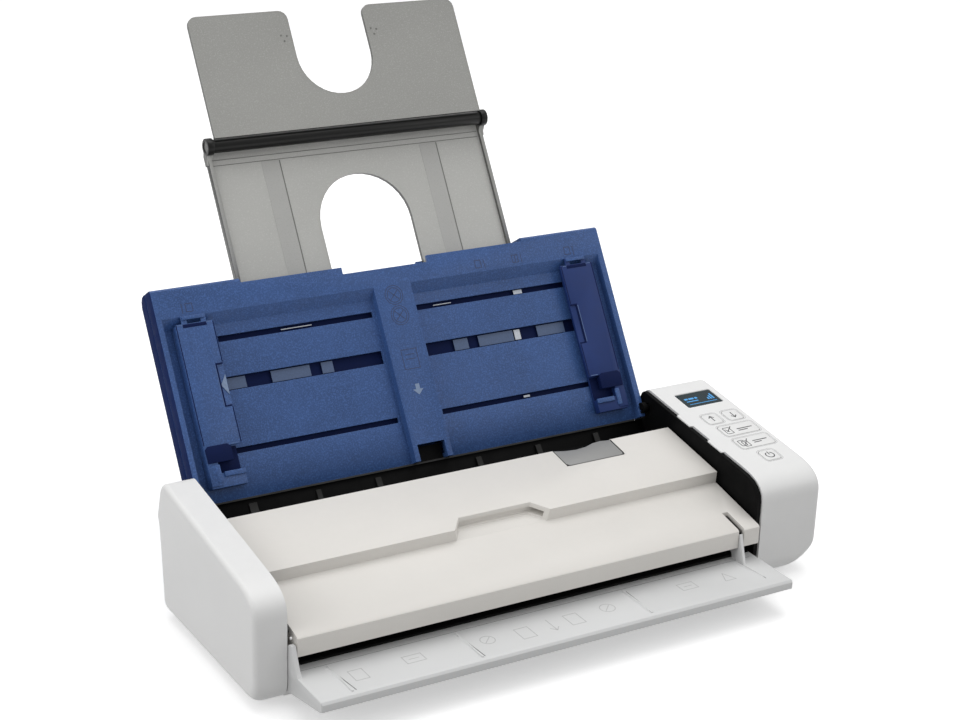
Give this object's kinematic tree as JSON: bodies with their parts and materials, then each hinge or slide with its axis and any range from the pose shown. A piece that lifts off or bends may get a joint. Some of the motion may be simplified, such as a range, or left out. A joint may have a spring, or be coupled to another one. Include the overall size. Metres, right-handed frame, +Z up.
{
  "type": "sheet fed document scanner",
  "caption": "Portable sheet fed document scanner: white end caps, hinged cover, folding navy feed tray with side guides, smoky telescopic paper support and drop-down output tray.",
  "frame": {"origin": "on the ground, under the middle of the bounding box", "axes": "+X to the right of a user facing the paper exit, where the control panel is; +Y to the back; +Z up"},
  "size_m": [0.2982, 0.2472, 0.2475],
  "materials": {
    "left_end_cap_finish": "matt moulded",
    "right_end_cap_finish": "matt moulded",
    "left_side_frame_finish": "matt black",
    "right_side_frame_finish": "matt black",
    "bottom_pan_finish": "matt moulded",
    "rear_panel_finish": "matt moulded",
    "lower_paper_guide_finish": "satin black",
    "lower_image_sensor_finish": "matt black",
    "lower_sensor_glass_finish": "clear",
    "idler_pin_finish": "ground",
    "drive_motor_finish": "ground",
    "main_circuit_board_finish": "solder mask",
    "panel_circuit_board_finish": "solder mask",
    "display_module_finish": "matt black",
    "display_window_finish": "clear",
    "usb_port_finish": "ground",
    "dc_power_jack_finish": "matt black",
    "rubber_foot_front_left_finish": "moulded",
    "rubber_foot_front_right_finish": "moulded",
    "rubber_foot_rear_left_finish": "moulded",
    "rubber_foot_rear_right_finish": "moulded",
    "feed_roller_finish": "moulded",
    "feed_roller_shaft_finish": "ground",
    "feed_gear_finish": "satin",
    "exit_roller_left_finish": "moulded",
    "exit_roller_right_finish": "moulded",
    "exit_roller_shaft_finish": "ground",
    "exit_gear_finish": "satin",
    "idler_gear_finish": "satin",
    "motor_pinion_finish": "satin",
    "top_cover_finish": "fine satin",
    "cover_inner_guide_finish": "satin black",
    "upper_image_sensor_finish": "matt black",
    "upper_sensor_glass_finish": "clear",
    "cover_pin_left_finish": "ground",
    "cover_pin_right_finish": "ground",
    "separation_roller_finish": "moulded",
    "pinch_roller_left_finish": "satin",
    "pinch_roller_right_finish": "satin",
    "release_latch_finish": "satin",
    "up_button_finish": "satin",
    "down_button_finish": "satin",
    "single_side_button_finish": "satin",
    "double_side_button_finish": "satin",
    "power_button_finish": "satin",
    "input_tray_front_finish": "fine grained",
    "input_tray_back_finish": "fine grained",
    "tray_pin_left_finish": "ground",
    "tray_pin_right_finish": "ground",
    "left_paper_guide_finish": "fine grained",
    "left_guide_rack_finish": "satin",
    "right_paper_guide_finish": "fine grained",
    "right_guide_rack_finish": "satin",
    "guide_pinion_finish": "satin",
    "lower_extension_panel_finish": "smoky translucent",
    "upper_extension_panel_finish": "smoky translucent",
    "extension_hinge_bar_finish": "satin black",
    "output_tray_finish": "fine satin"
  },
  "bodies": {
    "base": {"left_end_cap": "left_end_cap_finish", "right_end_cap": "right_end_cap_finish", "left_side_frame": "left_side_frame_finish", "right_side_frame": "right_side_frame_finish", "bottom_pan": "bottom_pan_finish", "rear_panel": "rear_panel_finish", "lower_paper_guide": "lower_paper_guide_finish", "lower_image_sensor": "lower_image_sensor_finish", "lower_sensor_glass": "lower_sensor_glass_finish", "idler_pin": "idler_pin_finish", "drive_motor": "drive_motor_finish", "main_circuit_board": "main_circuit_board_finish", "panel_circuit_board": "panel_circuit_board_finish", "display_module": "display_module_finish", "display_window": "display_window_finish", "usb_port": "usb_port_finish", "dc_power_jack": "dc_power_jack_finish", "rubber_foot_front_left": "rubber_foot_front_left_finish", "rubber_foot_front_right": "rubber_foot_front_right_finish", "rubber_foot_rear_left": "rubber_foot_rear_left_finish", "rubber_foot_rear_right": "rubber_foot_rear_right_finish"},
    "feed_drive": {"feed_roller": "feed_roller_finish", "feed_roller_shaft": "feed_roller_shaft_finish", "feed_gear": "feed_gear_finish"},
    "exit_drive": {"exit_roller_left": "exit_roller_left_finish", "exit_roller_right": "exit_roller_right_finish", "exit_roller_shaft": "exit_roller_shaft_finish", "exit_gear": "exit_gear_finish"},
    "idler": {"idler_gear": "idler_gear_finish"},
    "motor_rotor": {"motor_pinion": "motor_pinion_finish"},
    "cover": {"top_cover": "top_cover_finish", "cover_inner_guide": "cover_inner_guide_finish", "upper_image_sensor": "upper_image_sensor_finish", "upper_sensor_glass": "upper_sensor_glass_finish", "cover_pin_left": "cover_pin_left_finish", "cover_pin_right": "cover_pin_right_finish"},
    "separator": {"separation_roller": "separation_roller_finish"},
    "left_pinch": {"pinch_roller_left": "pinch_roller_left_finish"},
    "right_pinch": {"pinch_roller_right": "pinch_roller_right_finish"},
    "latch": {"release_latch": "release_latch_finish"},
    "up_key": {"up_button": "up_button_finish"},
    "down_key": {"down_button": "down_button_finish"},
    "single_side_key": {"single_side_button": "single_side_button_finish"},
    "double_side_key": {"double_side_button": "double_side_button_finish"},
    "power_key": {"power_button": "power_button_finish"},
    "input_tray": {"input_tray_front": "input_tray_front_finish", "input_tray_back": "input_tray_back_finish", "tray_pin_left": "tray_pin_left_finish", "tray_pin_right": "tray_pin_right_finish"},
    "left_guide": {"left_paper_guide": "left_paper_guide_finish", "left_guide_rack": "left_guide_rack_finish"},
    "right_guide": {"right_paper_guide": "right_paper_guide_finish", "right_guide_rack": "right_guide_rack_finish"},
    "guide_gear": {"guide_pinion": "guide_pinion_finish"},
    "lower_extension": {"lower_extension_panel": "lower_extension_panel_finish"},
    "upper_extension": {"upper_extension_panel": "upper_extension_panel_finish", "extension_hinge_bar": "extension_hinge_bar_finish"},
    "paper_catch": {"output_tray": "output_tray_finish"}
  },
  "joints": [
    {"name": "tray_fold", "type": "hinge", "parent": "base", "child": "input_tray", "pos_m": [-0.01235, 0.00089, 0.05811], "axis": [1, 0, 0], "range_deg": [0, 130]},
    {"name": "extension_slide", "type": "slide", "parent": "input_tray", "child": "lower_extension", "axis": [0, -0.5332, -0.846], "range_m": [0, 0.0635]},
    {"name": "extension_fold", "type": "hinge", "parent": "lower_extension", "child": "upper_extension", "pos_m": [-0.01235, 0.0923, 0.19188], "axis": [1, 0, 0], "range_deg": [0, 180]},
    {"name": "right_guide_slide", "type": "slide", "parent": "input_tray", "child": "right_guide", "axis": [-1, 0, 0], "range_m": [0, 0.055]},
    {"name": "left_guide_slide", "type": "slide", "parent": "input_tray", "child": "left_guide", "axis": [1, 0, 0], "range_m": [0, 0.055]},
    {"name": "guide_pinion_spin", "type": "hinge", "parent": "input_tray", "child": "guide_gear", "pos_m": [-0.01235, 0.03357, 0.09532], "axis": [0, 0.846, -0.5332], "continuous": true},
    {"name": "cover_open", "type": "hinge", "parent": "base", "child": "cover", "pos_m": [-0.01235, -0.08551, 0.0325], "axis": [-1, 0, 0], "range_deg": [-60, 0]},
    {"name": "latch_lift", "type": "hinge", "parent": "cover", "child": "latch", "pos_m": [0.05845, -0.03141, 0.0513], "axis": [-1, 0, 0], "range_deg": [-12, 0], "stiffness_Nm_per_rad": 0.03, "springref_deg": 5.73},
    {"name": "output_tray_fold", "type": "hinge", "parent": "base", "child": "paper_catch", "pos_m": [-0.01235, -0.09001, 0.0236], "axis": [1, 0, 0], "range_deg": [-90, 0]},
    {"name": "up_press", "type": "slide", "parent": "base", "child": "up_key", "axis": [0, 0.1436, -0.9896], "range_m": [0, 0.0008], "stiffness_N_per_m": 400},
    {"name": "down_press", "type": "slide", "parent": "base", "child": "down_key", "axis": [0, 0.1436, -0.9896], "range_m": [0, 0.0008], "stiffness_N_per_m": 400},
    {"name": "single_side_press", "type": "slide", "parent": "base", "child": "single_side_key", "axis": [0, 0.1436, -0.9896], "range_m": [0, 0.0008], "stiffness_N_per_m": 400},
    {"name": "double_side_press", "type": "slide", "parent": "base", "child": "double_side_key", "axis": [0, 0.1436, -0.9896], "range_m": [0, 0.0008], "stiffness_N_per_m": 400},
    {"name": "power_press", "type": "slide", "parent": "base", "child": "power_key", "axis": [0, 0.1436, -0.9896], "range_m": [0, 0.0008], "stiffness_N_per_m": 400},
    {"name": "feed_spin", "type": "hinge", "parent": "base", "child": "feed_drive", "pos_m": [-0.01235, -0.02501, 0.0278], "axis": [1, 0, 0], "continuous": true},
    {"name": "idler_spin", "type": "hinge", "parent": "base", "child": "idler", "pos_m": [0.11735, -0.05368, 0.0251], "axis": [1, 0, 0], "continuous": true},
    {"name": "exit_spin", "type": "hinge", "parent": "base", "child": "exit_drive", "pos_m": [-0.01235, -0.07601, 0.0163], "axis": [1, 0, 0], "continuous": true},
    {"name": "motor_spin", "type": "hinge", "parent": "base", "child": "motor_rotor", "pos_m": [0.11735, -0.07097, 0.0314], "axis": [1, 0, 0], "continuous": true},
    {"name": "separator_spin", "type": "hinge", "parent": "cover", "child": "separator", "pos_m": [-0.01235, -0.02741, 0.0436], "axis": [1, 0, 0], "continuous": true},
    {"name": "left_pinch_spin", "type": "hinge", "parent": "cover", "child": "left_pinch", "pos_m": [-0.06735, -0.07601, 0.0259], "axis": [1, 0, 0], "continuous": true},
    {"name": "right_pinch_spin", "type": "hinge", "parent": "cover", "child": "right_pinch", "pos_m": [0.04265, -0.07601, 0.0259], "axis": [1, 0, 0], "continuous": true}
  ],
  "couplings": [
    {"joint": "left_guide_slide", "follows": "right_guide_slide", "ratio": 1},
    {"joint": "guide_pinion_spin", "follows": "right_guide_slide", "rad_per_m": 250},
    {"joint": "idler_spin", "follows": "feed_spin", "ratio": -1},
    {"joint": "exit_spin", "follows": "feed_spin", "ratio": 1.5},
    {"joint": "motor_spin", "follows": "feed_spin", "ratio": 3.6}
  ]
}
